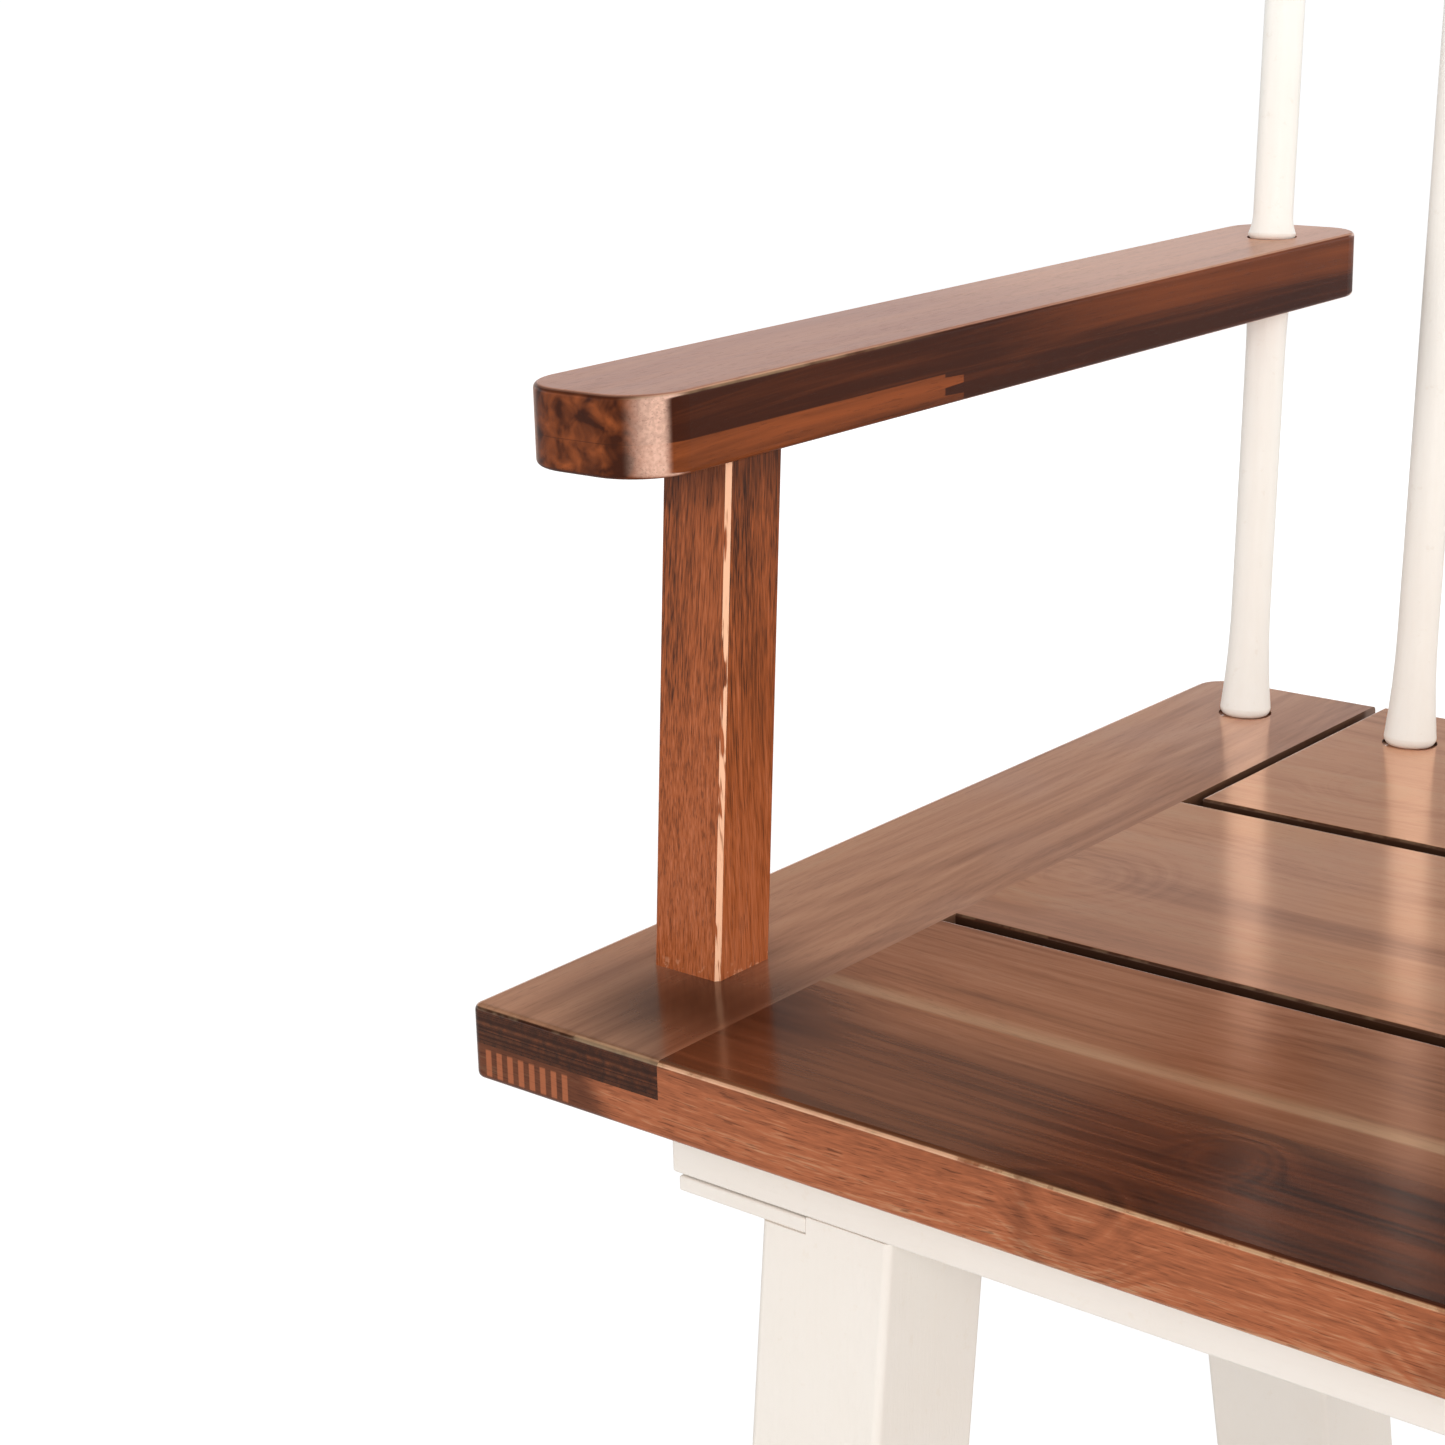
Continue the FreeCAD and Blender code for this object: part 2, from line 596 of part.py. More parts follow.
# ------------------------------------------------------------------ assembly
def build():
    blank = seat_blank()
    wood_screw = (screw_head_diameter, screw_shank_diameter)

    inner_x = side_board_inner / 4
    outer_x = side_board_inner / 2
    front_screws, front_holes = screw_set(
        seat_screw_points((front_rail_setback + front_rail_back) / 2, [inner_x, outer_x]),
        *wood_screw, seat_screw_length)
    middle_screws, middle_holes = screw_set(
        seat_screw_points((middle_rail_front + middle_board_rear) / 2, [inner_x, outer_x])
        + seat_screw_points((rear_board_front + middle_rail_back) / 2, [inner_x, outer_x])
        + seat_screw_points((middle_rail_front + middle_rail_back) / 2,
                            [half_width - side_board_width / 2]),
        *wood_screw, seat_screw_length)
    between_spindles = [spindle_pitch * step for step in (1, 2)]
    back_screws, back_holes = screw_set(
        seat_screw_points((back_rail_front + back_rail_back) / 2,
                          between_spindles + [side_board_inner + side_board_width / 4]),
        *wood_screw, seat_screw_length)
    bolts, bolt_holes = screw_set(
        both_sides(leg_bolt_points(front_leg_plan) + leg_bolt_points(rear_leg_plan)),
        leg_bolt_head_diameter, leg_bolt_diameter, leg_bolt_length, downwards=True)
    bearer_bottom = rail_bottom - bearer_gap - bearer_thickness
    bearer_x = -(bearer_outer + front_leg_plan.outer) / 2
    bearer_screws, bearer_holes = screw_set(
        both_sides([V(bearer_x, (front_rail_setback + front_rail_back) / 2, bearer_bottom),
                    V(bearer_x, (middle_rail_front + middle_rail_back) / 2, bearer_bottom)]),
        *wood_screw, bearer_screw_length)
    post_screws, post_holes = screw_set(
        both_sides([V(-post_middle, post_y(seat_top) + post_depth / 2, seat_bottom)]),
        *wood_screw, post_screw_length)

    side_board = left_side_board(blank).cut(middle_holes + back_holes + post_holes)
    post = left_post().cut(post_holes)
    bearer = left_bearer_plate().cut(bearer_holes)
    nails = [glide(point, nail_only=True, grow=screw_fit) for point in glide_positions()]
    front_blank, rear_blank = leg_blank(front_leg_plan), leg_blank(rear_leg_plan)
    leg_cuts = [side_tenon(glue_fit), bearer_notch()] + bolt_holes + nails
    front_leg, rear_leg = front_blank.cut(leg_cuts), rear_blank.cut(leg_cuts)
    stretcher = left_side_stretcher(front_blank, rear_blank).cut(cross_tenon(glue_fit))
    arm = left_arm()
    arm_spindle = spindle_between(0, seat_top, seat_end, arm_bottom, arm_underside_end)

    nodes = {
        "seat_front_board": front_board(blank).cut(front_holes + post_holes),
        "seat_middle_board": middle_board().cut(middle_holes),
        "seat_rear_board": rear_board().cut(middle_holes + back_holes),
        "front_rail": rail(front_rail_inset, front_rail_setback, front_rail_back).cut(
            front_holes + bolt_holes + bearer_holes),
        "middle_rail": rail(hidden_rail_inset, middle_rail_front, middle_rail_back).cut(
            middle_holes + bolt_holes + bearer_holes),
        "back_rail": rail(hidden_rail_inset, back_rail_front, back_rail_back).cut(back_holes),
        "cross_stretcher": cross_stretcher(),
        "crest_rail": crest_rail(),
        "front_rail_screws": Part.makeCompound(front_screws),
        "middle_rail_screws": Part.makeCompound(middle_screws),
        "back_rail_screws": Part.makeCompound(back_screws),
        "leg_bolts": Part.makeCompound(bolts),
        "bearer_screws": Part.makeCompound(bearer_screws),
        "post_screws": Part.makeCompound(post_screws),
        "floor_glides": Part.makeCompound([glide(point) for point in glide_positions()]),
    }
    for name, left in {"seat_side_board": side_board, "bearer_plate": bearer, "front_leg": front_leg,
                       "rear_leg": rear_leg, "side_stretcher": stretcher, "arm": arm,
                       "arm_post": post, "arm_spindle": arm_spindle}.items():
        nodes[name + "_left"] = left
        nodes[name + "_right"] = mirrored(left)
    for index in range(spindle_count):
        on_arm = index in (0, spindle_count - 1)
        foot = (arm_top, arm_top_end) if on_arm else (seat_top, seat_end)
        nodes["back_spindle_%d" % (index + 1)] = spindle_between(index, *foot, crest_bottom, seat_end)
    return nodes


def main():
    """Write each node with the origin on the floor, under the middle of the chair's outline."""
    nodes = build()
    outline = Part.makeCompound(list(nodes.values())).optimalBoundingBox(False)
    move = V(0, -(outline.YMin + outline.YMax) / 2, 0)
    os.makedirs("parts", exist_ok=True)
    for name, shape in nodes.items():
        placed = shape.copy()
        placed.translate(move)
        placed.exportStep("parts/%s.step" % name)
    print(len(nodes), "nodes,", outline)


main()
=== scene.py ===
import math
from collections import namedtuple

import bpy
from bpy.props import FloatProperty, FloatVectorProperty, PointerProperty
from mathutils import Matrix, Vector


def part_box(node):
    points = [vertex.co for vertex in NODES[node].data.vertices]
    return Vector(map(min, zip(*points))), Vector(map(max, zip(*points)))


bl_info = {
    "name": "Spindle-back armchair",
    "version": (1, 0, 0),
    "blender": (4, 5, 0),
    "location": "View3D > Sidebar > Armchair",
    "description": "Finishes a spindle-back armchair and sets it on a studio floor",
    "category": "Object",
}

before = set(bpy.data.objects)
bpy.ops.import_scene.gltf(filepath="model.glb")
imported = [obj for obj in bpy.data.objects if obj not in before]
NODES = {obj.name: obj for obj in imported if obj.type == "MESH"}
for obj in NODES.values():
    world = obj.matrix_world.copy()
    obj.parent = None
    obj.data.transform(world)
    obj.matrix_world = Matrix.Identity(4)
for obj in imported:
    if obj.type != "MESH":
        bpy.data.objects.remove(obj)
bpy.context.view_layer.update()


def srgb(red, green, blue):
    """A colour named in 0 to 255 steps, as the linear numbers that shaders use."""
    def linear(step):
        level = step / 255
        return level / 12.92 if level <= 0.04045 else ((level + 0.055) / 1.055) ** 2.4
    return tuple(linear(step) for step in (red, green, blue))


def colour(name, description, *steps):
    return FloatVectorProperty(name=name, description=description, subtype="COLOR", size=3,
                               min=0, max=1, default=srgb(*steps))


# ---------------------------------------------------------------- settings

class ARMCHAIR_WoodSettings(bpy.types.PropertyGroup):
    """Stain and lacquer of the brown woodwork"""
    dark: colour("Dark grain", "Stain in the darkest growth rings", 50, 23, 11)
    umber: colour("Umber grain", "Stain on the sides of the arms and round knots", 60, 25, 10)
    walnut: colour("Walnut grain", "Stain in the shallow figure of the seat", 140, 84, 58)
    brown: colour("Brown grain", "Stain over most of the seat", 233, 173, 134)
    tan: colour("Tan grain", "Stain over most of the front board", 190, 124, 84)
    red: colour("Red grain", "Stain on the reddish timber of posts and edges", 155, 80, 40)
    russet: colour("Russet grain", "Stain on the front edge of the seat", 187, 108, 70)
    light: colour("Light grain", "Stain on pale streaks of sapwood", 242, 204, 160)
    # this colour also serves for the painted highlight on the posts' planed corner and the seat's
    # front edge
    bare_and_highlight: colour("Rubbed edge", "Bare timber where an edge is rubbed through", 242, 186, 150)
    # painted sheen: a pale tint on the arms and seat in place of the lacquer's sheen
    painted_sheen: colour("Bloom", "Pale tint in place of sheen on arms and seat", 222, 179, 158)
    pore: colour("Pores", "Filler in the open pores", 58, 28, 13)
    seat_gloss: FloatProperty(
        name="Seat lacquer roughness", description="Roughness of the polished seat",
        min=0.02, max=1, default=0.13, subtype="FACTOR")
    satin: FloatProperty(
        name="Satin lacquer roughness", description="Roughness of arms, posts and crest rail",
        min=0.02, max=1, default=0.3, subtype="FACTOR")
    lustre: FloatProperty(
        name="Lustre", description="Share of light that the polished seat mirrors in its colour",
        min=0, max=1, default=0.5, subtype="FACTOR")
    grain_depth: FloatProperty(
        name="Grain depth", description="Depth of the open pores",
        min=0, max=0.001, default=0.00007, precision=5, unit="LENGTH")


class ARMCHAIR_PaintSettings(bpy.types.PropertyGroup):
    """Cream paint of the legs, rails and spindles"""
    cream: colour("Cream", "Paint of the legs, rails and stretchers", 237, 230, 222)
    ivory: colour("Ivory", "Paint of the spindles", 252, 249, 242)
    shade: colour("Thin paint", "Colour where the paint is thin over the timber", 226, 212, 193)
    roughness: FloatProperty(
        name="Roughness", description="Roughness of the eggshell paint",
        min=0.02, max=1, default=0.42, subtype="FACTOR")
    brush_depth: FloatProperty(
        name="Brush marks", description="Depth of the brush marks",
        min=0, max=0.001, default=0.00005, precision=5, unit="LENGTH")


class ARMCHAIR_StudioSettings(bpy.types.PropertyGroup):
    """Floor, lamps and camera"""
    floor_size: FloatProperty(
        name="Floor size", description="Side of the square floor",
        min=2, default=60, unit="LENGTH")
    ambient: FloatProperty(
        name="Room light", description="Light from all sides", min=0, default=0.62)
    key_power: FloatProperty(
        name="Key lamp", description="Power of the softbox beside the camera",
        min=0, default=98, unit="POWER")
    side_power: FloatProperty(
        name="Side lamp", description="Power of the softbox left of the camera",
        min=0, default=30, unit="POWER")
    fill_power: FloatProperty(
        name="Fill lamp", description="Power of the softbox right of the chair",
        min=0, default=22, unit="POWER")
    back_power: FloatProperty(
        name="Back lamp", description="Power of the softbox behind the chair",
        min=0, default=28, unit="POWER")
    low_gloss: FloatProperty(
        name="Gloss of the backdrop", description="Light that lacquer mirrors from low down",
        min=0, max=2, default=1.3)
    wall_gloss: FloatProperty(
        name="Gloss of the walls", description="Light that lacquer mirrors from the walls",
        min=0, max=1, default=0.16)
    window_gloss: FloatProperty(
        name="Gloss of the window", description="Light that lacquer mirrors from the window",
        min=0, max=1, default=0.43)
    high_gloss: FloatProperty(
        name="Gloss of the ceiling", description="Light that lacquer mirrors from overhead",
        min=0, max=1, default=0.35)
    lens: FloatProperty(
        name="Focal length", description="Focal length of the camera in millimetres",
        min=10, default=71.33)
    camera_place: FloatVectorProperty(
        name="Camera", description="Place of the camera", size=3,
        subtype="TRANSLATION", unit="LENGTH", default=(0.3025, -0.8180, 0.7933))


# ---------------------------------------------------------------- node tools

class Graph:
    """A material or world node tree, written as expressions."""

    def __init__(self, tree):
        self.tree = tree
        tree.nodes.clear()

    def node(self, kind, inputs=(), **settings):
        made = self.tree.nodes.new(kind)
        for name, value in settings.items():
            setattr(made, name, value)
        for name, value in dict(inputs).items():
            self.feed(made.inputs[name], value)
        return made

    def feed(self, socket, value):
        if isinstance(value, bpy.types.NodeSocket):
            self.tree.links.new(value, socket)
        elif value is not None:
            if socket.type == "RGBA" and len(value) == 3:
                value = (*value, 1)
            socket.default_value = value

    def coordinate(self, kind):
        return self.node("ShaderNodeTexCoord").outputs[kind]

    def math(self, operation, first, second=None):
        made = self.node("ShaderNodeMath", operation=operation)
        for socket, value in zip(made.inputs, (first, second)):
            self.feed(socket, value)
        return made.outputs[0]

    def add(self, *values):
        total = values[0]
        for value in values[1:]:
            total = self.math("ADD", total, value)
        return total

    def times(self, *values):
        total = values[0]
        for value in values[1:]:
            total = self.math("MULTIPLY", total, value)
        return total

    def less(self, first, second):
        return self.math("SUBTRACT", first, second)

    def absolute(self, value):
        return self.math("ABSOLUTE", value)

    def most(self, *values):
        total = values[-1]
        for value in reversed(values[:-1]):
            total = self.math("MAXIMUM", value, total)
        return total

    def vector(self, x, y, z):
        return self.node("ShaderNodeCombineXYZ", {"X": x, "Y": y, "Z": z}).outputs[0]

    def split(self, vector):
        return self.node("ShaderNodeSeparateXYZ", {"Vector": vector}).outputs

    def scaled(self, vector, factor):
        made = self.node("ShaderNodeVectorMath", {"Scale": factor}, operation="SCALE")
        self.feed(made.inputs[0], vector)
        return made.outputs[0]

    def smooth(self, value, low, high, start=0.0, end=1.0):
        """start below low and end above high, with a smooth step between."""
        flip = high < low
        made = self.node("ShaderNodeMapRange", interpolation_type="SMOOTHSTEP")
        for socket, number in zip(made.inputs, (value, high if flip else low, low if flip else high,
                                                end if flip else start, start if flip else end)):
            self.feed(socket, number)
        return made.outputs[0]

    def window(self, value, low, high, soft):
        """1 between low and high, 0 outside, with soft edges."""
        return self.times(self.smooth(value, low - soft, low + soft),
                          self.smooth(value, high + soft, high - soft))

    def teeth(self, value, pitch):
        """Square teeth, one to a pitch, with slightly soft flanks."""
        wave = self.math("PINGPONG", self.times(value, 1 / pitch), 0.5)
        return self.smooth(wave, 0.2, 0.3)

    def noise(self, vector, detail=2.0, roughness=0.5, distortion=0.0):
        return self.node("ShaderNodeTexNoise",
                         {"Vector": vector, "Scale": 1.0, "Detail": detail,
                          "Roughness": roughness, "Distortion": distortion}).outputs[0]

    def line_noise(self, value, detail=2.0, roughness=0.5):
        return self.node("ShaderNodeTexNoise",
                         {"W": value, "Scale": 1.0, "Detail": detail, "Roughness": roughness},
                         noise_dimensions="1D").outputs[0]

    def ramp(self, value, stops):
        made = self.node("ShaderNodeValToRGB", {"Fac": value})
        elements = made.color_ramp.elements
        while len(elements) < len(stops):
            elements.new(0.5)
        for element, (place, tone) in zip(elements, stops):
            element.position = place
            element.color = (*tone, 1)
        return made.outputs[0]

    def mix(self, amount, first, second):
        """first where amount is 0, second where it is 1; both are colours."""
        made = self.node("ShaderNodeMix", data_type="RGBA", clamp_factor=True)
        by_name = {socket.identifier: socket for socket in made.inputs}
        self.feed(by_name["Factor_Float"], amount)
        self.feed(by_name["A_Color"], first)
        self.feed(by_name["B_Color"], second)
        return next(socket for socket in made.outputs if socket.identifier == "Result_Color")

    def coat(self, base, over, *masks, share):
        """base with another colour over it, by a share of it where every mask is 1."""
        return self.mix(self.times(*masks, share), base, over)

    def blend(self, amount, first, second):
        """first where amount is 0, second where it is 1; both are numbers."""
        return self.add(first, self.times(amount, self.less(second, first)))


def new_material(name):
    material = bpy.data.materials.new(name)
    material.use_nodes = True
    return material, Graph(material.node_tree)


def surface(graph, base, roughness, height, depth, **fixed):
    """Closes a material. Colour, roughness and bump are graphs; the rest is the same all over."""
    bump = graph.node("ShaderNodeBump", {"Strength": 1.0, "Distance": depth, "Height": height})
    shader = graph.node("ShaderNodeBsdfPrincipled",
                        {"Base Color": base, "Roughness": roughness,
                         "Normal": bump.outputs[0], **fixed})
    graph.node("ShaderNodeOutputMaterial", {"Surface": shader.outputs[0]})


def give(material, *names):
    """Puts a material on CAD nodes."""
    for name in names:
        for place in NODES[name].material_slots:
            place.material = material


# ---------------------------------------------------------------- timber

# A knot's middle, how far it bends the grain, and how many metres it pushes the rings outwards.
Knot = namedtuple("Knot", "centre size push")

PITH_DEPTH = 0.06            # of the middle of the tree, under the board
RING_FREQUENCY = 290         # growth rings to a metre
PORE_LENGTHS = 130           # pores to a metre along the grain
PORE_WIDTHS = 2300           # pores to a metre across it
# the dark patch before an arm post is a painted reflection of the post
POST_SHADE_REACH = 0.068     # of the dark patch before an arm post
POST_SHADE_ASIDE = 0.022     # from the middle of the post to the middle of that patch
POST_SHADE_BEFORE = 0.016    # from the front of the post to the middle of that patch


class Timber:
    """The rings, streaks and pores of one board, in metres along, across and through its grain."""

    def __init__(self, graph, along, across, through, seed, knots=(), fineness=300):
        self.graph = graph
        self.place = graph.coordinate("Object")
        self.x, self.y, self.z = graph.split(self.place)
        self.nx, self.ny, self.nz = graph.split(graph.coordinate("Normal"))
        axis = {"x": self.x, "y": self.y, "z": self.z}
        self.along = graph.add(axis[along], seed * 1.7)
        self.across = axis[across]
        self.through = axis[through]
        facing = {"x": self.nx, "y": self.ny, "z": self.nz}[along]
        self.end_grain = graph.smooth(graph.absolute(facing), 0.6, 0.85)
        slow = graph.noise(graph.vector(graph.times(self.along, 3.2), graph.times(self.across, 7),
                                        graph.times(self.through, 7)), detail=1)
        self.drift = graph.times(graph.less(slow, 0.5), 0.03)
        self.rings = self.ring_figure(seed, knots)
        self.streaks = graph.noise(self.stretched(fineness / 40, fineness),
                                   detail=3, roughness=0.62)
        self.broad = graph.noise(self.stretched(2.2, 34), detail=2)
        self.pores = self.pore_dashes()

    def stretched(self, along, across):
        """A point in stretched timber, for noise that runs with the grain."""
        graph = self.graph
        return graph.vector(graph.times(self.along, along),
                            graph.times(graph.add(self.across, self.drift), across),
                            graph.times(graph.add(self.through, self.drift), across))

    def ring_figure(self, seed, knots):
        """Growth rings about a pith below the board, wandering along it and bent round knots."""
        graph = self.graph
        wander = graph.noise(graph.vector(graph.times(self.along, 2.4), seed, 0.3), detail=1)
        side = graph.add(self.across, graph.times(graph.less(wander, 0.5), 0.12), self.drift)
        down = graph.add(self.through, PITH_DEPTH, graph.times(self.drift, 0.8))
        radius = graph.math("SQRT", graph.add(graph.times(side, side), graph.times(down, down)))
        for knot in knots:
            radius = graph.add(radius, graph.times(self.near(knot.centre, knot.size), knot.push))
        return graph.line_noise(graph.times(radius, RING_FREQUENCY), detail=3, roughness=0.6)

    def near(self, centre, size):
        """1 at a point, falling to 0 at size metres from it."""
        graph = self.graph
        gap = graph.node("ShaderNodeVectorMath", operation="DISTANCE")
        graph.feed(gap.inputs[0], self.place)
        graph.feed(gap.inputs[1], centre)
        return graph.smooth(gap.outputs["Value"], size, 0.0)

    def inset(self, edge):
        """How far in from the left or right end, for an end at plus and minus edge."""
        return self.graph.less(edge, self.graph.absolute(self.x))

    def inward(self):
        """1 on faces towards the middle of the chair, -1 on faces away from it."""
        graph = self.graph
        return graph.times(self.nx, graph.math("SIGN", graph.times(self.x, -1)))

    def post_shade(self):
        """1 just before the foot of each arm post: a painted reflection, dark stain that deepens
        the post's image in the polish.
        """
        foot_low, foot_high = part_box("arm_post_right")
        aside = (foot_low.x + foot_high.x) / 2 - POST_SHADE_ASIDE
        before = foot_low.y - POST_SHADE_BEFORE
        return self.graph.most(self.near((aside, before, foot_low.z), POST_SHADE_REACH),
                               self.near((-aside, before, foot_low.z), POST_SHADE_REACH))

    def pore_dashes(self):
        """Short dark dashes along the grain, thicker in some bands than in others."""
        graph = self.graph
        dashes = graph.noise(self.stretched(PORE_LENGTHS, PORE_WIDTHS), detail=1)
        crowd = graph.noise(self.stretched(5, 60), detail=1)
        bar = graph.less(0.735, graph.times(crowd, 0.2))
        return graph.smooth(graph.less(dashes, bar), -0.02, 0.05)

    def tone(self, shift, rings, streaks, broad):
        """How dark or light the timber is, about 0.5, by the weight of each kind of figure."""
        graph = self.graph
        return graph.add(0.5, graph.times(graph.less(self.rings, 0.5), rings),
                         graph.times(graph.less(self.streaks, 0.5), streaks),
                         graph.times(graph.less(self.broad, 0.5), broad), shift)

    def eased_edge(self):
        """1 on the roundings between level and upright faces."""
        graph = self.graph
        level = graph.absolute(self.nz)
        return graph.times(graph.smooth(level, 0.2, 0.5), graph.smooth(level, 0.985, 0.85))

    def broken(self, scale, low, high):
        """Patches for wear that comes and goes, scale of them to a metre."""
        graph = self.graph
        return graph.smooth(graph.noise(graph.scaled(self.place, scale), detail=3, roughness=0.6),
                            low, high)


LACQUER_IOR = 1.46
RUBBED_PORES = 0.1           # how much of the pores' filler shows where an edge is rubbed
STREAK_ROUGHNESS = 0.08
PORE_ROUGHNESS = 0.15
WEAR_ROUGHNESS = 0.25
STREAK_RELIEF = 0.2
PEEL_RELIEF = 0.2


def orange_peel(timber, scale=1300):
    """The fine ripple of sprayed lacquer."""
    return timber.graph.noise(timber.graph.scaled(timber.place, scale), detail=2)


def lacquered(timber, base, wood, gloss, wear, pores=0.45, relief=1.0, lustre=0.0, shine=0.25):
    """Stain and pores under clear lacquer, rougher where an edge is rubbed."""
    graph = timber.graph
    filler = graph.smooth(wear, 0.0, 1.0, pores, RUBBED_PORES)
    base = graph.mix(graph.times(timber.pores, filler), base, wood.pore)
    roughness = graph.add(gloss, graph.times(timber.streaks, STREAK_ROUGHNESS),
                          graph.times(timber.pores, pores * PORE_ROUGHNESS),
                          graph.times(wear, WEAR_ROUGHNESS))
    height = graph.add(graph.times(timber.pores, -pores),
                       graph.times(timber.streaks, STREAK_RELIEF),
                       graph.times(orange_peel(timber), PEEL_RELIEF))
    surface(graph, base, roughness, height, wood.grain_depth * relief,
            **{"IOR": LACQUER_IOR, "Specular IOR Level": shine, "Metallic": lustre})


def polished(timber, base, wood, wear):
    """The seat's filled and polished lacquer, glossier than the satin of the arms and posts."""
    lacquered(timber, base, wood, wood.seat_gloss, wear,
              pores=0.15, relief=0.2, lustre=wood.lustre, shine=0.5)


def stain(timber, tone, dark, middle, light):
    """Turns a tone into a stained colour between dark and light grain."""
    return timber.graph.ramp(tone, [(0.12, dark), (0.5, middle), (0.92, light)])


def seat_stain(timber, tone, wood):
    """The stain over most of the seat."""
    return stain(timber, tone, wood.walnut, wood.brown, wood.light)


def fore_stain(timber, tone, wood):
    """The deeper stain towards the front of the seat, partly timber and partly painted shade."""
    return stain(timber, tone, wood.dark, wood.tan, wood.brown)


def sheen_patches(timber, base, wood):
    """Wide pale patches of painted sheen, tinted in place of the lacquer's sheen."""
    return timber.graph.coat(base, wood.painted_sheen, timber.broken(9, 0.4, 0.65), share=0.25)


def end_face(timber, base, wood, scale, amount=1.0):
    """Darker, mottled end grain, with scale spots to a metre."""
    graph = timber.graph
    mottle = graph.noise(graph.scaled(timber.place, scale), detail=2, distortion=0.5)
    dull = graph.ramp(mottle, [(0.15, wood.dark), (0.36, wood.umber), (0.82, wood.red)])
    return graph.coat(base, dull, timber.end_grain, share=amount)


def slot_wall(timber, base, wood, facing, amount=0.9):
    """Painted shade: darker stain down in the slots between the boards, which deepens their shade.
    """
    graph = timber.graph
    return graph.coat(base, wood.dark, graph.smooth(facing, 0.15, 0.5), share=amount)


def faintly_rubbed(timber):
    """Light wear here and there along the edges of the middle and rear boards."""
    return timber.graph.times(timber.eased_edge(), timber.broken(150, 0.45, 0.62), 0.12)


# ---------------------------------------------------------------- seat

# the posts' image on the seat is a painted reflection in dark stain
POST_SHADE = 0.95            # share of dark stain that deepens the posts' image


def finish_side_boards(wood):
    material, graph = new_material("lacquered_side_board")
    low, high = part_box("seat_side_board_right")
    timber = Timber(graph, "y", "x", "z", seed=3.1)
    inset = timber.inset(high.x)
    pale_strip = graph.window(graph.add(inset, graph.times(timber.drift, 0.35)),
                              0.053, 0.066, soft=0.004)
    rubbed_seam = graph.window(inset, 0.004, 0.012, soft=0.004)
    inner_half = graph.smooth(inset, 0.045, 0.055, 0.0, -0.09)
    shift = graph.add(graph.times(pale_strip, 0.09), graph.times(rubbed_seam, 0.08),
                      inner_half, -0.06)
    tone = timber.tone(shift, rings=0.22, streaks=0.32, broad=0.36)
    # pale patches of painted sheen
    base = sheen_patches(timber, seat_stain(timber, tone, wood), wood)
    fore = graph.smooth(timber.y, low.y + 0.16, low.y + 0.06)
    base = graph.coat(base, fore_stain(timber, tone, wood), fore, share=0.1)
    # dark stain before each post's foot: a painted reflection of the post
    base = graph.coat(base, wood.dark, timber.post_shade(), share=POST_SHADE)
    base = slot_wall(timber, base, wood, timber.inward(), amount=0.6)
    base = end_face(timber, base, wood, scale=330, amount=0.9)
    front = graph.smooth(timber.y, low.y + 0.004, low.y + 0.001)
    layers = graph.smooth(graph.line_noise(graph.times(timber.z, 700), detail=3), 0.3, 0.6, 0.3)
    base = graph.coat(base, wood.dark, front, layers, share=0.9)
    edge = graph.times(timber.eased_edge(), timber.broken(70, 0.35, 0.6))
    base = graph.coat(base, wood.light, edge, share=0.35)
    polished(timber, base, wood, edge)
    give(material, "seat_side_board_left", "seat_side_board_right")


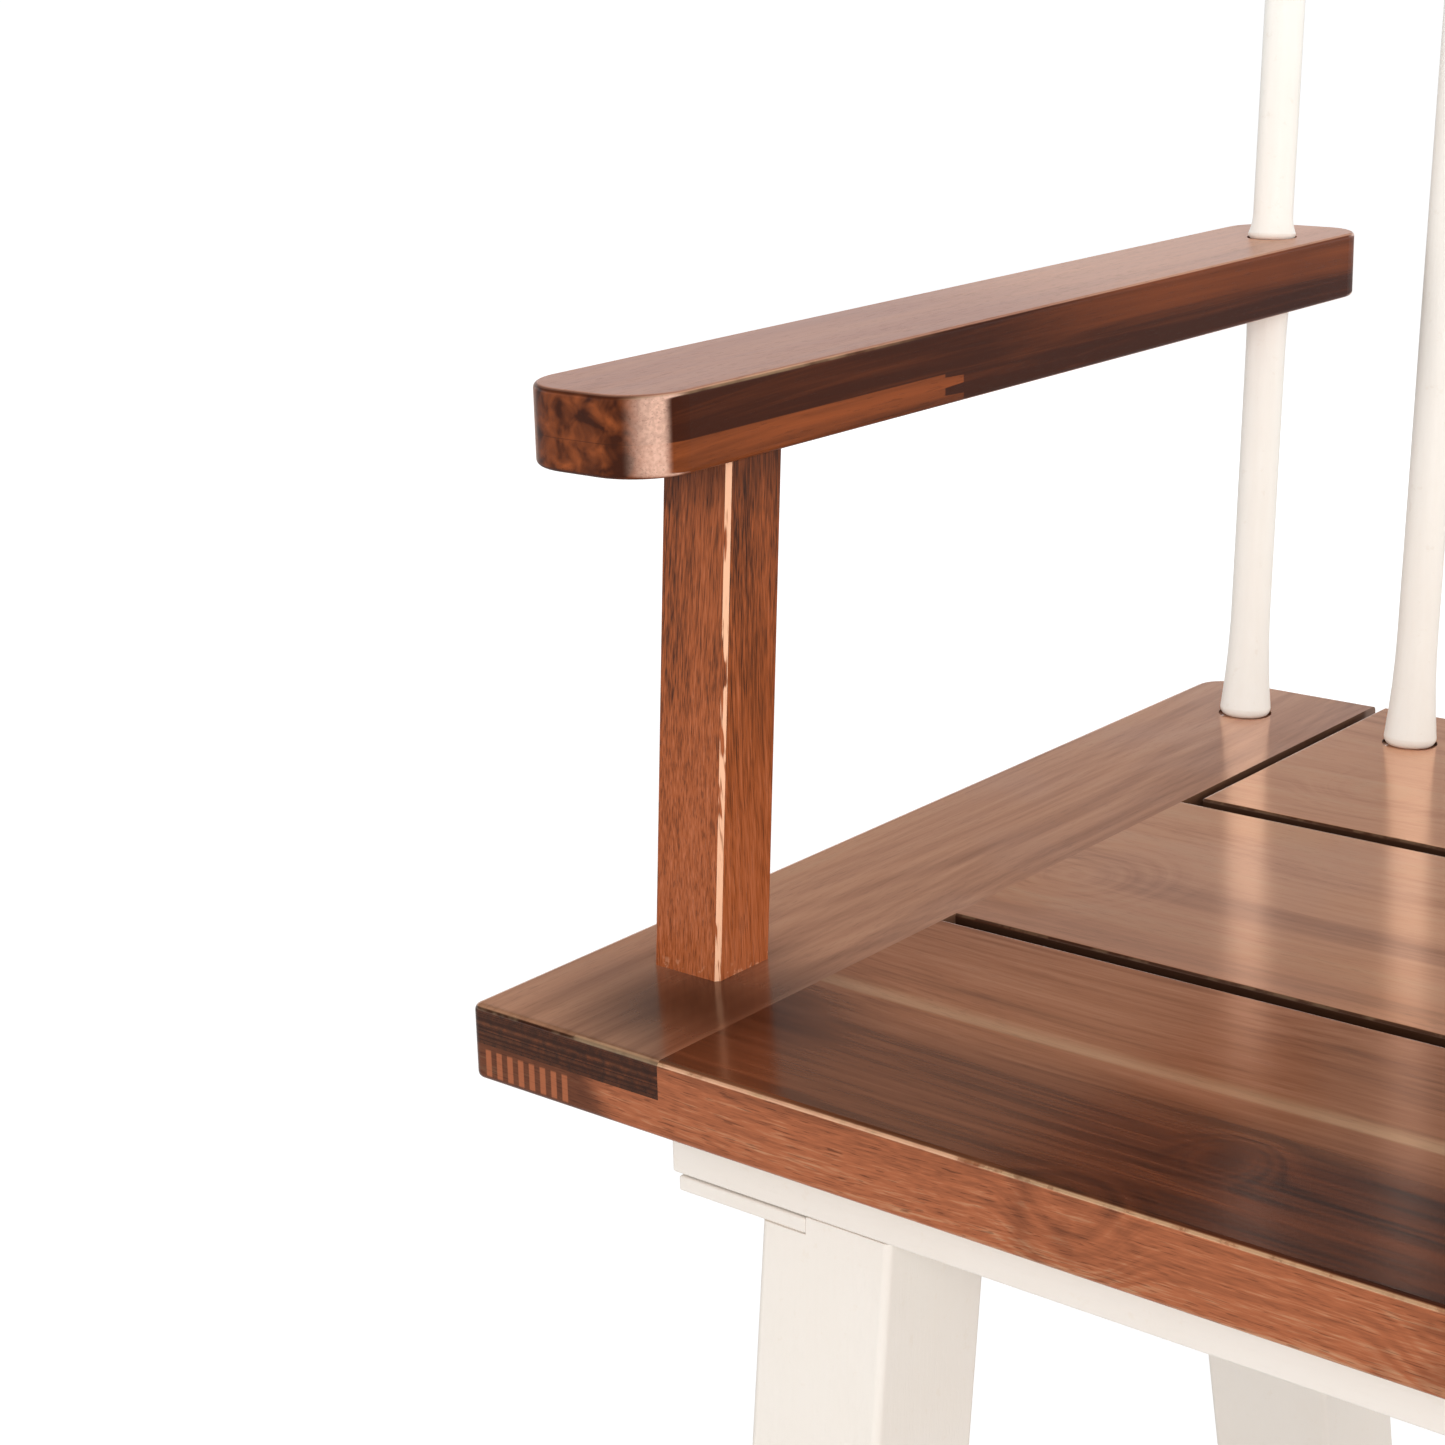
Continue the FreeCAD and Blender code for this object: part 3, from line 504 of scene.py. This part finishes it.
def finish_front_board(wood):
    material, graph = new_material("lacquered_front_board")
    low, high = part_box("seat_front_board")
    knots = [Knot((low.x + 0.245, low.y + 0.044, high.z), size=0.022, push=0.012),
             Knot((low.x + 0.222, low.y, high.z - 0.012), size=0.03, push=0.016),
             Knot((low.x + 0.42, low.y + 0.08, high.z), size=0.03, push=0.014),
             Knot((low.x + 0.33, low.y, low.z + 0.003), size=0.03, push=0.012)]
    timber = Timber(graph, "x", "y", "z", seed=1.3, knots=knots, fineness=420)
    top = graph.smooth(timber.nz, 0.6, 0.9)
    front_face = graph.smooth(timber.ny, -0.55, -0.85)

    # top: a dark front stave, a pale streak, and darker towards the right, partly timber and partly
    # painted shade
    depth = graph.add(graph.less(timber.y, low.y), graph.times(timber.drift, 0.18))
    streak = graph.times(graph.smooth(depth, 0.0775, 0.0795), graph.smooth(depth, 0.089, 0.081))
    front_stave = graph.smooth(depth, 0.082, 0.045)
    right_darkening = graph.smooth(timber.x, -0.16, 0.0, 0.0, 0.42)
    tone = timber.tone(0.0, rings=0.25, streaks=0.5, broad=0.4)
    umber = stain(timber, graph.add(tone, 0.08), wood.dark, wood.umber, wood.red)
    darker = graph.add(graph.times(front_stave, 0.62), right_darkening)
    base = graph.mix(graph.times(darker, top), fore_stain(timber, tone, wood), umber)
    base = graph.coat(base, wood.light, streak, top, share=0.35)
    # dark stain before each post's foot: a painted reflection of the post
    base = graph.coat(base, wood.dark, timber.post_shade(), share=POST_SHADE)

    # front edge: redder timber with fine speckle and open pores
    speckle = graph.noise(timber.stretched(110, 1500), detail=2, roughness=0.6)
    edge_tone = timber.tone(graph.times(graph.less(speckle, 0.5), 0.4),
                            rings=0.24, streaks=0.25, broad=0.75)
    base = graph.mix(front_face, base,
                     stain(timber, edge_tone, wood.dark, wood.russet, wood.light))
    base = graph.coat(base, wood.pore, front_face, timber.pores, share=0.35)

    for knot in knots:
        near = timber.near(knot.centre, knot.size)
        rim = graph.times(graph.window(near, 0.3, 0.55, soft=0.2), front_face, 0.4)
        heart = graph.smooth(near, 0.6, 1.0, 0.0, 0.35)
        amount = graph.times(graph.add(rim, heart), timber.broken(60, 0.3, 0.6))
        base = graph.mix(amount, base, wood.umber)
    base = slot_wall(timber, base, wood, timber.ny)
    base = finger_joint(timber, base, wood, low, high, front_face)

    # a pale line along the upper front edge, partly rubbed timber and partly painted highlight,
    # palest for part of its length
    line = graph.window(timber.nz, 0.35, 0.75, soft=0.08)
    bare_and_highlight = graph.times(line, graph.window(timber.inset(high.x), 0.079, 0.185, soft=0.002),
                       timber.broken(90, 0.3, 0.5))
    dull = graph.times(line, timber.broken(120, 0.3, 0.55), 0.6)
    base = graph.mix(dull, base, wood.light)
    base = graph.coat(base, wood.bare_and_highlight, bare_and_highlight, share=0.8)
    polished(timber, base, wood, graph.most(dull, bare_and_highlight))
    give(material, "seat_front_board")


def finger_joint(timber, base, wood, low, high, front_face):
    """The comb of a finger joint at each end of the seat's front edge."""
    graph = timber.graph
    inset = timber.inset(high.x)
    fingers = graph.teeth(inset, pitch=0.0046)
    band = graph.times(graph.window(inset, 0.0055, 0.0405, soft=0.0002),
                       graph.window(timber.z, low.z + 0.002, low.z + 0.0108, soft=0.0004),
                       front_face)
    slant = graph.add(inset, graph.times(graph.less(timber.z, low.z), 0.6),
                      graph.times(timber.drift, 0.4))
    end_block = graph.times(graph.smooth(slant, 0.064, 0.052), front_face)
    base = graph.coat(base, wood.dark, end_block, share=0.7)
    return graph.coat(base, wood.russet, band, fingers, share=0.85)


def finish_middle_board(wood):
    material, graph = new_material("lacquered_middle_board")
    low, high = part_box("seat_middle_board")
    knots = [Knot((low.x + 0.03, low.y + 0.055, high.z), size=0.05, push=0.02),
             Knot((low.x + 0.3, low.y + 0.09, high.z), size=0.045, push=-0.018)]
    timber = Timber(graph, "x", "y", "z", seed=5.7, knots=knots)
    depth = graph.add(graph.less(timber.y, low.y), graph.times(timber.drift, 0.4))
    dark_band = graph.times(graph.window(depth, 0.05, 0.066, soft=0.005),
                            graph.smooth(timber.x, -0.21, -0.17), -0.16)
    pale_band = graph.times(graph.window(depth, 0.02, 0.046, soft=0.006), 0.12)
    tone = timber.tone(graph.add(dark_band, pale_band, -0.02), rings=0.3, streaks=0.34, broad=0.42)
    base = graph.coat(seat_stain(timber, tone, wood), fore_stain(timber, tone, wood),
                      graph.smooth(depth, 0.075, 0.0), share=0.55)
    # pale patches of painted sheen
    base = sheen_patches(timber, base, wood)
    base = slot_wall(timber, base, wood, graph.absolute(timber.ny))
    edge = faintly_rubbed(timber)
    polished(timber, graph.mix(edge, base, wood.light), wood, edge)
    give(material, "seat_middle_board")


def finish_rear_board(wood):
    material, graph = new_material("lacquered_rear_board")
    low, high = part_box("seat_rear_board")
    knots = [Knot((low.x + 0.05, low.y + 0.04, high.z), size=0.035, push=0.014)]
    timber = Timber(graph, "x", "y", "z", seed=9.2, knots=knots)
    tone = timber.tone(0.0, rings=0.24, streaks=0.28, broad=0.36)
    into_slots = graph.most(graph.times(timber.ny, -1), graph.absolute(timber.nx))
    base = slot_wall(timber, seat_stain(timber, tone, wood), wood, into_slots)
    edge = faintly_rubbed(timber)
    polished(timber, graph.mix(edge, base, wood.light), wood, edge)
    give(material, "seat_rear_board")


# ---------------------------------------------------------------- arms, posts and crest rail

def finish_arms(wood):
    material, graph = new_material("lacquered_arm")
    low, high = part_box("arm_left")
    timber = Timber(graph, "y", "x", "z", seed=2.6)
    level = graph.absolute(timber.nz)
    across = graph.absolute(timber.nx)

    # each arm is glued up of two layers, the lower one jointed with teeth behind the post
    layer = high.z - 0.0146
    step = graph.teeth(graph.less(layer, timber.z), pitch=0.006)
    joint = graph.add(low.y + 0.149, graph.times(step, 0.0105))
    lower = graph.times(graph.smooth(timber.z, layer + 0.0002, layer - 0.0002),
                        graph.smooth(graph.less(timber.y, joint), 0.0004, -0.0004))
    # the upper side is stained lighter towards the rear, in place of light that falls there
    rear_light = graph.times(graph.smooth(timber.y, low.y + 0.16, low.y + 0.3),
                             graph.smooth(timber.z, layer - 0.006, layer + 0.008), 0.24)
    tone = timber.tone(rear_light, rings=0.2, streaks=0.22, broad=0.35)
    # the tops take a share of pale tint: painted sheen on the upper faces
    top = graph.mix(0.4, stain(timber, tone, wood.umber, wood.red, wood.brown), wood.painted_sheen)
    side = stain(timber, graph.less(tone, 0.05), wood.dark, wood.umber, wood.red)
    base = graph.mix(graph.smooth(level, 0.85, 0.6), top, side)
    lower_tone = timber.tone(-0.2, rings=0.2, streaks=0.4, broad=0.3)
    base = graph.mix(lower, base, stain(timber, lower_tone, wood.dark, wood.red, wood.russet))
    base = end_face(timber, base, wood, scale=150)
    glue_line = graph.window(timber.z, layer - 0.0001, layer + 0.0001, soft=0.0001)
    base = graph.coat(base, wood.dark, glue_line, share=0.6)

    # edges: dark round the ends, rubbed along the front of the upper long ones
    eased = timber.eased_edge()
    base = graph.coat(base, wood.umber, eased, graph.smooth(across, 0.6, 0.3), share=0.7)
    edge = graph.times(eased, timber.broken(45, 0.3, 0.6), graph.smooth(across, 0.3, 0.6),
                       graph.smooth(timber.nz, 0.0, 0.3),
                       graph.smooth(timber.y, low.y + 0.16, low.y + 0.08))
    base = graph.coat(base, wood.light, edge, share=0.25)

    # upright rounded corners: a pale, pebbly tint in place of a lamp's highlight
    corner = graph.times(graph.smooth(across, 0.42, 0.84), graph.smooth(across, 0.95, 0.88),
                         graph.smooth(graph.absolute(timber.ny), 0.02, 0.25))
    pebbles = graph.smooth(orange_peel(timber, scale=800), 0.3, 0.7, 0.75, 1.0)
    base = graph.mix(graph.times(corner, pebbles), base, wood.painted_sheen)
    lacquered(timber, base, wood, wood.satin, edge, pores=0.25, shine=0.15)
    give(material, "arm_left", "arm_right")


def finish_posts(wood):
    material, graph = new_material("lacquered_post")
    low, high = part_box("arm_post_left")
    timber = Timber(graph, "z", "x", "y", seed=4.4, fineness=700)
    # painted shade of the arm: the stain is darker at the top and lighter towards the foot, most on
    # the sides
    arm_shade_fade = graph.smooth(timber.z, high.z, low.z)
    sideways = graph.smooth(graph.absolute(timber.nx), 0.7, 0.9)
    fine = graph.noise(timber.stretched(85, 2400), detail=2, roughness=0.6)
    shift = graph.add(graph.times(arm_shade_fade, 0.16),
                      graph.times(sideways, graph.less(arm_shade_fade, 0.5), 0.2),
                      graph.times(graph.less(fine, 0.5), 1.1), -0.09)
    tone = timber.tone(shift, rings=0.2, streaks=0.7, broad=0.5)
    base = stain(timber, tone, wood.dark, wood.red, wood.russet)
    # stained darker just under the arm, in place of its shade
    under_arm = graph.smooth(timber.z, high.z - 0.03, high.z - 0.012, 0.0, 0.45)
    base = graph.mix(under_arm, base, wood.dark)

    # pale timber: a painted highlight on the planed inner front corner, and wear on the outer front
    # corner and the foot
    inward = timber.inward()
    planed = graph.times(graph.smooth(inward, 0.62, 0.7), graph.smooth(timber.ny, -0.62, -0.7))
    ragged = graph.smooth(graph.noise(timber.stretched(45, 620), detail=2), 0.36, 0.44)
    outer = graph.times(graph.smooth(inward, -0.3, -0.6), graph.smooth(timber.ny, -0.3, -0.6),
                        timber.broken(160, 0.4, 0.6))
    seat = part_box("seat_front_board")[1].z
    foot = graph.times(graph.smooth(timber.z, seat + 0.006, seat + 0.0005),
                       timber.broken(300, 0.56, 0.66))
    wear = graph.most(graph.times(planed, ragged), graph.times(outer, 0.6),
                      graph.times(foot, 0.35))
    base = graph.mix(wear, base, wood.bare_and_highlight)
    lacquered(timber, base, wood, wood.satin, wear, pores=0.4)
    give(material, "arm_post_left", "arm_post_right")


def finish_crest_rail(wood):
    material, graph = new_material("lacquered_crest_rail")
    low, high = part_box("crest_rail")
    knots = [Knot((0.12, low.y, high.z - 0.04), size=0.05, push=0.016)]
    timber = Timber(graph, "x", "z", "y", seed=7.5, knots=knots)
    tone = timber.tone(-0.14, rings=0.3, streaks=0.5, broad=0.4)
    base = stain(timber, tone, wood.dark, wood.red, wood.tan)
    base = end_face(timber, base, wood, scale=240)
    edge = graph.times(timber.eased_edge(), timber.broken(120, 0.42, 0.6), 0.5)
    base = graph.mix(edge, base, wood.light)
    lacquered(timber, base, wood, wood.satin, edge)
    give(material, "crest_rail")


# ---------------------------------------------------------------- paint and hardware

def brushed_paint(name, paint, tint, along, roughness):
    """Eggshell paint with brush marks along the piece, thinner in small worn spots."""
    material, graph = new_material(name)
    timber = Timber(graph, along, *[axis for axis in "xyz" if axis != along], seed=6.3)
    brush = graph.noise(timber.stretched(9, 700), detail=2)
    cloud = timber.broken(14, 0.3, 0.7)
    thinner = graph.add(graph.times(cloud, 0.12), graph.times(brush, 0.1))
    base = graph.mix(thinner, tint, paint.shade)
    base = graph.coat(base, paint.shade, timber.broken(210, 0.62, 0.72), share=0.18)
    rough = graph.add(roughness - 0.05, graph.times(brush, 0.1), graph.times(cloud, 0.04))
    height = graph.add(brush, graph.times(orange_peel(timber, scale=900), 0.5),
                       graph.times(timber.pores, -0.5))
    surface(graph, base, rough, height, paint.brush_depth,
            **{"IOR": 1.45, "Specular IOR Level": 0.4})
    return material


def finish_paint(paint):
    rails = brushed_paint("cream_rail_paint", paint, paint.cream, "x", paint.roughness)
    give(rails, "front_rail", "middle_rail", "back_rail", "cross_stretcher")
    sides = brushed_paint("cream_side_paint", paint, paint.cream, "y", paint.roughness)
    give(sides, "bearer_plate_left", "bearer_plate_right",
         "side_stretcher_left", "side_stretcher_right")
    legs = brushed_paint("cream_leg_paint", paint, paint.cream, "z", paint.roughness)
    give(legs, "front_leg_left", "front_leg_right", "rear_leg_left", "rear_leg_right")


def finish_spindles(paint):
    ivory = brushed_paint("ivory_spindle_paint", paint, paint.ivory, "z", paint.roughness - 0.08)
    give(ivory, "arm_spindle_left", "arm_spindle_right",
         *[f"back_spindle_{number}" for number in range(1, 9)])


def finish_hardware():
    material, graph = new_material("zinc_screw_steel")
    spangle = graph.noise(graph.scaled(graph.coordinate("Object"), 900.0),
                          detail=3, roughness=0.6)
    base = graph.ramp(spangle, [(0.3, srgb(132, 134, 138)), (0.7, srgb(186, 187, 188))])
    rough = graph.smooth(spangle, 0.3, 0.7, 0.28, 0.46)
    surface(graph, base, rough, spangle, depth=0.00003, **{"Metallic": 1.0})
    give(material, "front_rail_screws", "middle_rail_screws", "back_rail_screws", "leg_bolts",
         "bearer_screws", "post_screws")


def finish_glides():
    material, graph = new_material("grey_nylon_glide")
    grit = graph.noise(graph.scaled(graph.coordinate("Object"), 1400.0), detail=2)
    base = graph.ramp(grit, [(0.3, srgb(62, 60, 57)), (0.75, srgb(92, 88, 83))])
    rough = graph.smooth(grit, 0.3, 0.7, 0.5, 0.66)
    surface(graph, base, rough, grit, depth=0.00004, **{"IOR": 1.5})
    give(material, "floor_glides")


# ---------------------------------------------------------------- studio

WHITE = (1.0, 1.0, 1.0)
FLOOR_GREY = (0.6, 0.6, 0.6)
FLOOR_GLOSS = 0.05           # how much of the floor's glow lacquer mirrors
GLOW_REACH = (0.9, 3.0)      # metres from the chair between which the glow rises
GLOW_LEVEL = (0.53, 0.645)   # the glow under the chair and beyond it

COOL = (0.94, 1.07, 1.16)
ROSY = (1.0, 0.88, 0.94)
WARM = (1.0, 0.88, 0.78)

# Bands of light that glossy surfaces mirror. They are no real room: they were fitted to the
# sheen wanted on each board as the camera looks on it, and slide over the boards in other
# views. Degrees above the horizon, setting, share of it, tint.
GLOSS_BANDS = ((11.5, "low_gloss", 1.0, COOL),
               (15, "wall_gloss", 1.0, ROSY), (21.5, "wall_gloss", 1.0, ROSY),
               (25, "window_gloss", 1.0, WARM), (27.5, "window_gloss", 1.0, WARM),
               (30, "wall_gloss", 0.5, WARM), (37, "wall_gloss", 1.0, WARM),
               (45, "high_gloss", 1.0, WARM))

# Name, setting that holds its power, side, place and target of each square softbox.
SOFTBOXES = (("key_softbox", "key_power", 2.4, (2.77, -2.82, 1.28), (0, -0.05, 0.45)),
             ("side_softbox", "side_power", 2.0, (-2.7, -2.7, 1.3), (0, 0, 0.45)),
             ("fill_softbox", "fill_power", 1.6, (2.7, 0.9, 1.2), (0, 0, 0.45)),
             ("back_softbox", "back_power", 2.0, (-1.2, 3.0, 1.9), (0, 0, 0.45)))

CAMERA_FORWARD = (-0.6177, 0.7319, -0.2876)
CAMERA_RIGHT = (0.7691, 0.6386, -0.0268)
SENSOR_WIDTH = 36            # millimetres
FAR_CLIP = 200               # metres


def background_ray(graph, path, gloss):
    """1 for background seen directly or through glass, gloss for what a surface mirrors."""
    seen = graph.most(path["Is Camera Ray"], path["Is Transmission Ray"])
    return graph.most(seen, graph.times(path["Is Glossy Ray"], gloss))


def lay_floor(studio):
    half = studio.floor_size / 2
    corners = [(-half, -half, 0), (half, -half, 0), (half, half, 0), (-half, half, 0)]
    mesh = bpy.data.meshes.new("studio_floor")
    mesh.from_pydata(corners, [], [(0, 1, 2, 3)])
    floor = bpy.data.objects.new("studio_floor", mesh)
    bpy.context.scene.collection.objects.link(floor)
    material, graph = new_material("pale_studio_floor")
    path = graph.node("ShaderNodeLightPath").outputs
    seen = background_ray(graph, path, FLOOR_GLOSS)
    reach = graph.node("ShaderNodeVectorMath", {"Vector": graph.coordinate("Object")},
                       operation="LENGTH").outputs["Value"]
    level = graph.times(seen, graph.smooth(reach, *GLOW_REACH, *GLOW_LEVEL))
    matte = graph.node("ShaderNodeBsdfDiffuse", {"Color": FLOOR_GREY})
    glow = graph.node("ShaderNodeEmission", {"Color": WHITE, "Strength": level})
    both = graph.node("ShaderNodeAddShader")
    graph.feed(both.inputs[0], matte.outputs[0])
    graph.feed(both.inputs[1], glow.outputs[0])
    graph.node("ShaderNodeOutputMaterial", {"Surface": both.outputs[0]})
    mesh.materials.append(material)


def light_room(studio):
    world = bpy.data.worlds.new("studio_room")
    bpy.context.scene.world = world
    world.use_nodes = True
    graph = Graph(world.node_tree)
    path = graph.node("ShaderNodeLightPath").outputs
    upward = graph.split(graph.coordinate("Generated"))[2]
    bands = []
    for degrees, setting, share, tint in GLOSS_BANDS:
        level = getattr(studio, setting) * share
        bands.append((math.sin(math.radians(degrees)), [level * part for part in tint]))
    seen = graph.mix(path["Is Glossy Ray"], WHITE, graph.ramp(upward, bands))
    strength = graph.blend(background_ray(graph, path, 1.0), studio.ambient, 1.0)
    background = graph.node("ShaderNodeBackground", {"Color": seen, "Strength": strength})
    graph.node("ShaderNodeOutputWorld", {"Surface": background.outputs[0]})


def hang_softbox(name, power, side, place, target):
    """A square lamp that lights the chair but isn't mirrored in its lacquer."""
    data = bpy.data.lights.new(name, "AREA")
    data.shape = "SQUARE"
    data.size = side
    data.energy = power
    lamp = bpy.data.objects.new(name, data)
    lamp.location = place
    lamp.rotation_euler = (Vector(target) - Vector(place)).to_track_quat("-Z", "Y").to_euler()
    lamp.visible_glossy = False
    bpy.context.scene.collection.objects.link(lamp)


def place_camera(studio):
    data = bpy.data.cameras.new("studio_camera")
    data.lens = studio.lens
    data.sensor_width = SENSOR_WIDTH
    data.clip_end = FAR_CLIP
    camera = bpy.data.objects.new("studio_camera", data)
    forward = Vector(CAMERA_FORWARD).normalized()
    right = Vector(CAMERA_RIGHT)
    right = (right - forward * right.dot(forward)).normalized()
    up = right.cross(forward)
    facing = Matrix((right, up, -forward)).transposed()
    camera.matrix_world = Matrix.Translation(studio.camera_place) @ facing.to_4x4()
    bpy.context.scene.collection.objects.link(camera)
    bpy.context.scene.camera = camera


# ---------------------------------------------------------------- operators

class ARMCHAIR_OT_finish_seat(bpy.types.Operator):
    """Stain and polish the five boards of the seat"""
    bl_idname = "armchair.finish_seat"
    bl_label = "Finish seat boards"

    def execute(self, context):
        wood = context.scene.armchair_wood
        finish_side_boards(wood)
        finish_front_board(wood)
        finish_middle_board(wood)
        finish_rear_board(wood)
        return {"FINISHED"}


class ARMCHAIR_OT_finish_arms(bpy.types.Operator):
    """Stain and lacquer the arms"""
    bl_idname = "armchair.finish_arms"
    bl_label = "Finish arms"

    def execute(self, context):
        finish_arms(context.scene.armchair_wood)
        return {"FINISHED"}


class ARMCHAIR_OT_finish_posts(bpy.types.Operator):
    """Stain and lacquer the posts under the arms"""
    bl_idname = "armchair.finish_posts"
    bl_label = "Finish arm posts"

    def execute(self, context):
        finish_posts(context.scene.armchair_wood)
        return {"FINISHED"}


class ARMCHAIR_OT_finish_crest_rail(bpy.types.Operator):
    """Stain and lacquer the rail across the top of the back"""
    bl_idname = "armchair.finish_crest_rail"
    bl_label = "Finish crest rail"

    def execute(self, context):
        finish_crest_rail(context.scene.armchair_wood)
        return {"FINISHED"}


class ARMCHAIR_OT_paint_spindles(bpy.types.Operator):
    """Paint the spindles of the back"""
    bl_idname = "armchair.paint_spindles"
    bl_label = "Paint spindles"

    def execute(self, context):
        finish_spindles(context.scene.armchair_paint)
        return {"FINISHED"}


class ARMCHAIR_OT_paint_frame(bpy.types.Operator):
    """Paint the rails, bearer plates, legs and stretchers"""
    bl_idname = "armchair.paint_frame"
    bl_label = "Paint legs and rails"

    def execute(self, context):
        finish_paint(context.scene.armchair_paint)
        return {"FINISHED"}


class ARMCHAIR_OT_finish_hardware(bpy.types.Operator):
    """Plate the screws and bolts, and mould the floor glides"""
    bl_idname = "armchair.finish_hardware"
    bl_label = "Finish screws and glides"

    def execute(self, context):
        finish_hardware()
        finish_glides()
        return {"FINISHED"}


class ARMCHAIR_OT_set_studio(bpy.types.Operator):
    """Lay the floor, hang the lamps and place the camera"""
    bl_idname = "armchair.set_studio"
    bl_label = "Set studio"

    def execute(self, context):
        studio = context.scene.armchair_studio
        lay_floor(studio)
        light_room(studio)
        for name, setting, side, place, target in SOFTBOXES:
            hang_softbox(name, getattr(studio, setting), side, place, target)
        place_camera(studio)
        context.scene.view_settings.view_transform = "Standard"
        return {"FINISHED"}


class ARMCHAIR_PT_sidebar(bpy.types.Panel):
    """Finishes and studio of the armchair"""
    bl_label = "Armchair"
    bl_idname = "ARMCHAIR_PT_sidebar"
    bl_space_type = "VIEW_3D"
    bl_region_type = "UI"
    bl_category = "Armchair"

    def draw(self, context):
        for settings in (context.scene.armchair_wood, context.scene.armchair_paint,
                         context.scene.armchair_studio):
            box = self.layout.box()
            for name in settings.__annotations__:
                box.prop(settings, name)
        for operator in OPERATORS:
            self.layout.operator(operator.bl_idname)


OPERATORS = (ARMCHAIR_OT_finish_seat, ARMCHAIR_OT_finish_arms, ARMCHAIR_OT_finish_posts,
             ARMCHAIR_OT_finish_crest_rail, ARMCHAIR_OT_paint_spindles, ARMCHAIR_OT_paint_frame,
             ARMCHAIR_OT_finish_hardware, ARMCHAIR_OT_set_studio)
SETTINGS = {"armchair_wood": ARMCHAIR_WoodSettings, "armchair_paint": ARMCHAIR_PaintSettings,
            "armchair_studio": ARMCHAIR_StudioSettings}
CLASSES = (*SETTINGS.values(), *OPERATORS, ARMCHAIR_PT_sidebar)


def register():
    for made in CLASSES:
        bpy.utils.register_class(made)
    for name, group in SETTINGS.items():
        setattr(bpy.types.Scene, name, PointerProperty(type=group))


def unregister():
    for name in SETTINGS:
        delattr(bpy.types.Scene, name)
    for made in reversed(CLASSES):
        bpy.utils.unregister_class(made)


def main():
    register()
    for operator in OPERATORS:
        group, name = operator.bl_idname.split(".")
        getattr(getattr(bpy.ops, group), name)()


if __name__ == "__main__":
    main()
